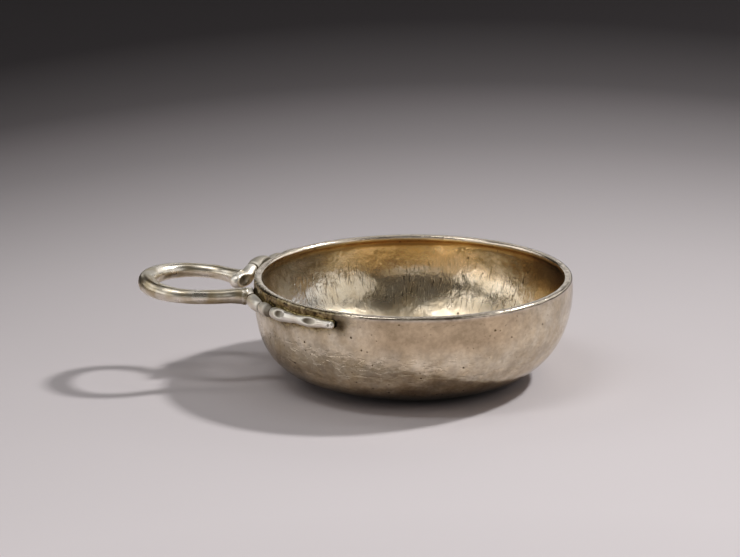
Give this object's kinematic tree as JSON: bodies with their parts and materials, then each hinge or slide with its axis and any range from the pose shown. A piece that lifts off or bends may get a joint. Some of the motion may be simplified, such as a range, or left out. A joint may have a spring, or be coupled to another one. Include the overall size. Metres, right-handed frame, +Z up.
{
  "type": "wine taster",
  "caption": "Shallow raised silver wine taster: a round flat-based bowl with a rounded lip and a finger ring handle on knuckled tails soldered along its wall.",
  "frame": {"origin": "middle of the flat base, on the surface that the bowl stands on", "axes": "+Z up along the bowl's axis, ring handle towards -X, near side of the handle towards -Y"},
  "size_m": [0.1104, 0.081, 0.027],
  "materials": {
    "raised_silver": "planished old silver, warm and lightly tarnished, with fine scratches and pits",
    "cast_silver": "polished cast silver, worn bright on top and dark in the hollows",
    "hard_solder": "dull dark silver solder"
  },
  "bodies": {
    "root": {"bowl": "raised_silver", "ring_handle": "cast_silver", "near_tail": "cast_silver", "far_tail": "cast_silver", "near_tail_solder": "hard_solder", "far_tail_solder": "hard_solder", "near_hoop_solder": "hard_solder", "far_hoop_solder": "hard_solder"}
  },
  "joints": []
}
